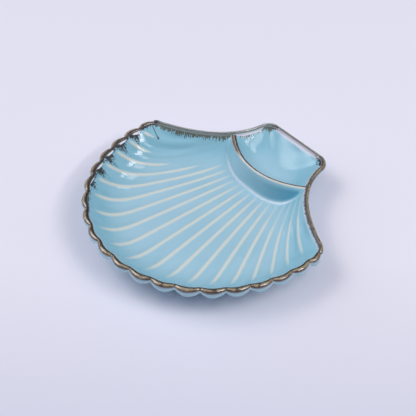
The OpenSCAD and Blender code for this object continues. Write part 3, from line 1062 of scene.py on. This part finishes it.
# Open pores and a fine sandy grain, which gives a dull and slightly rough surface
stoneware, tree, spot = start_material("bare_fired_stoneware")
grain = node(tree, "TexNoise", {"Vector": spot, "Scale": 1 / grain_size, "Detail": 4.0})
colour = node(tree, "Mix", {0: grain, 6: linear("#D8CDBC"), 7: linear("#B9AA95")}, data_type="RGBA")
bump = node(tree, "Bump", {"Strength": 0.4, "Distance": 0.1 * mm, "Height": grain})
end_material(tree, {"Base Color": colour, "Roughness": 0.75, "Normal": bump})

quarter = np.linspace(0, math.pi / 2, ease_steps)
eased = [(foot_ease * (1 - math.cos(a)), foot_ease * (1 - math.sin(a))) for a in quarter]
profile = [(foot_outer, foot_h + foot_into_clay)]
profile += [(foot_outer - in_by, z) for in_by, z in eased]
profile += [(foot_inner + in_by, z) for in_by, z in eased[::-1]]
profile += [(foot_inner, foot_h + foot_into_clay)]
turns = np.linspace(0, 2 * math.pi, foot_turns, endpoint=False)
foot_points = [(r * math.cos(a), foot_y + r * math.sin(a), z) for r, z in profile for a in turns]
foot_index = np.arange(len(foot_points)).reshape(len(profile), foot_turns)
foot_index = np.vstack([foot_index, foot_index[:1]])
foot = mesh_object("turned_foot_ring", foot_points, loop_faces(foot_index)[:, ::-1])
foot.data.materials.append(stoneware)
foot.data.polygons.foreach_set("use_smooth", [True] * len(foot.data.polygons))
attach(foot, "root")
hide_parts("foot_ring")

for guide in edge_guides.values():
    bpy.data.objects.remove(guide)

# Studio floor
# A sheet of pale paper under the platter, painted darker towards the camera as painted shade for the light
# falling off there.

floor_half = 3.0
floor = mesh_object("floor", [(-floor_half, -floor_half, 0), (floor_half, -floor_half, 0),
                              (floor_half, floor_half, 0), (-floor_half, floor_half, 0)], [(0, 1, 2, 3)])
towards_back = (-0.745, 0.667, 0.0)
paper, tree, spot = start_material("matt_pale_paper")
painted_falloff = node(tree, "VectorMath", [spot, towards_back], operation="DOT_PRODUCT")
painted_falloff = node(tree, "MapRange", [painted_falloff, -0.2, -0.05, 0.0, 1.0])
colour = node(tree, "Mix", {0: painted_falloff, 6: linear("#D8D9E5"), 7: linear("#E9E8F2")}, data_type="RGBA")
end_material(tree, {"Base Color": colour, "Roughness": 0.9})
floor.data.materials.append(paper)

# Studio light
# Three softboxes, brighter in the middle than at their edges, in a dim room that is lighter low on the left,
# low and high on the right, and overhead. Turns are counted from +X and heights from the table, in degrees.

softbox_gap = 2.6


def direction(turn, height):
    turn = math.radians(turn)
    height = math.radians(height)
    return np.array([math.cos(height) * math.cos(turn), math.cos(height) * math.sin(turn), math.sin(height)])


# Sets a lamp or the camera at a distance from its target, facing it
def aim(thing, target, distance, turn, height):
    thing.location = target + distance * direction(turn, height)
    thing.rotation_euler = (math.pi / 2 - math.radians(height), 0, math.radians(turn) + math.pi / 2)
    bpy.context.scene.collection.objects.link(thing)


def softbox(name, turn, height, wide, tall, radiance, core, edge_share):
    data = bpy.data.lights.new(name, "AREA")
    data.shape = "RECTANGLE"
    data.energy = radiance * wide * tall * math.pi
    data.size = wide
    data.size_y = tall
    data.color = linear("#FFF9F8")[:3]
    data.use_nodes = True
    tree = data.node_tree
    across_box = node(tree, "NewGeometry").outputs["Parametric"]
    from_middle = node(tree, "VectorMath", [across_box, (0.5, 0.5, 0.0)], operation="DISTANCE")
    glow = node(tree, "MapRange", [from_middle, core, 0.5, 1.0, edge_share], interpolation_type="SMOOTHSTEP")
    tree.links.new(glow.outputs[0], tree.nodes["Emission"].inputs["Strength"])
    aim(bpy.data.objects.new(name, data), np.zeros(3), softbox_gap, turn, height)


softbox("left_softbox", turn=-146, height=52, wide=2.05, tall=1.3, radiance=3.5, core=0.3, edge_share=0.5)
softbox("right_softbox", turn=20, height=45.5, wide=1.9, tall=0.34, radiance=12.0, core=0.35, edge_share=0.4)
softbox("top_softbox", turn=28, height=59.5, wide=1.15, tall=0.75, radiance=4.0, core=0.35, edge_share=0.6)

world = bpy.data.worlds.new("pale_room")
bpy.context.scene.world = world
world.use_nodes = True
tree = world.node_tree
room = node(tree, "TexCoord").outputs["Generated"]
room_glow = 0.04
room_sides = ((-150, 18, 1.6, 5.0), (55, 20, 0.9, 9.0), (25, 50, 0.4, 9.0), (-42, 78, 1.1, 9.0))
for turn, height, strength, focus in room_sides:
    lit = node(tree, "VectorMath", [room, direction(turn, height)], operation="DOT_PRODUCT")
    lit = node(tree, "Math", [lit, focus, -focus], operation="MULTIPLY_ADD")
    lit = node(tree, "Math", [lit], operation="EXPONENT")
    room_glow = node(tree, "Math", [lit, strength, room_glow], operation="MULTIPLY_ADD")
tree.nodes["Background"].inputs[0].default_value = linear("#DEE4F4")
tree.links.new(room_glow.outputs[0], tree.nodes["Background"].inputs[1])
bpy.context.scene.view_settings.view_transform = "Standard"

# Camera
# It looks down at the platter from its front right, as the photograph does.

view_turn = -41.86
view_height = 45.84
view_distance = 848.3 * mm
view_target = np.array([10.23, -11.67, 28.0]) * mm
camera_data = bpy.data.cameras.new("camera")
camera_data.sensor_width = 36
camera_data.lens = 87.3
camera = bpy.data.objects.new("camera", camera_data)
aim(camera, view_target, view_distance, view_turn, view_height)
bpy.context.scene.camera = camera
